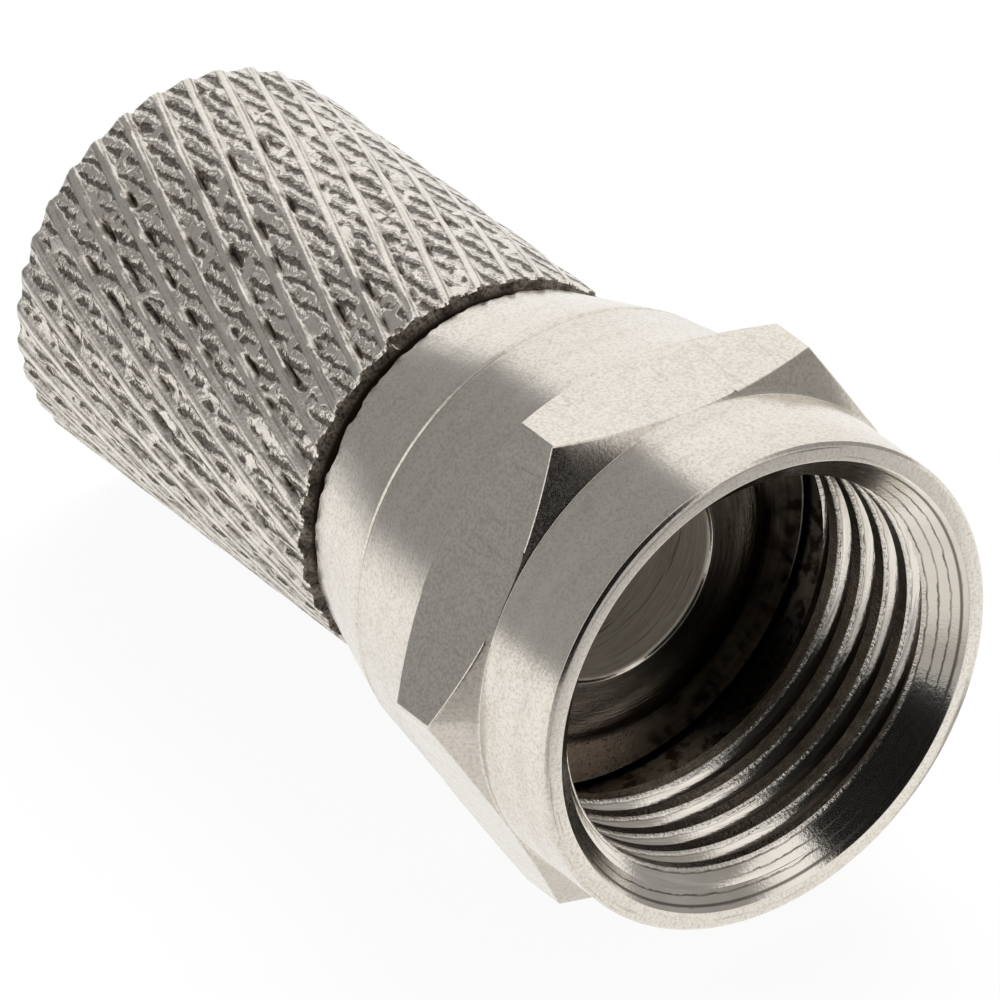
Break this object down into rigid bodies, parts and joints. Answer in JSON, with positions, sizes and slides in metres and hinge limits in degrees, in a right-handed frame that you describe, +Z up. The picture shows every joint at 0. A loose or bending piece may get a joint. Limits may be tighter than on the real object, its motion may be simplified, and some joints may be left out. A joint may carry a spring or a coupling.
{
  "type": "f connector",
  "caption": "Twist-on coaxial F plug: knurled one-piece body with a flanged neck, and a free-turning hexagonal coupling nut threaded inside.",
  "frame": {"origin": "on the connector's axis, in the plane of the mouth of the coupling nut", "axes": "+X out of the mouth, towards the mating connector; +Z up, square to a flat of the hexagon; the connector lies on the opposite flat"},
  "size_m": [0.0204, 0.0128, 0.011],
  "materials": {
    "knurled_plating": "nickel plated brass, satin",
    "turned_plating": "nickel plated brass, fine turned"
  },
  "bodies": {
    "sleeve_body": {"body": "knurled_plating"},
    "nut": {"coupling_nut": "turned_plating"}
  },
  "joints": [
    {"name": "nut_spin", "type": "hinge", "parent": "sleeve_body", "child": "nut", "pos_m": [0, 0, 0], "axis": [1, 0, 0], "continuous": true}
  ]
}
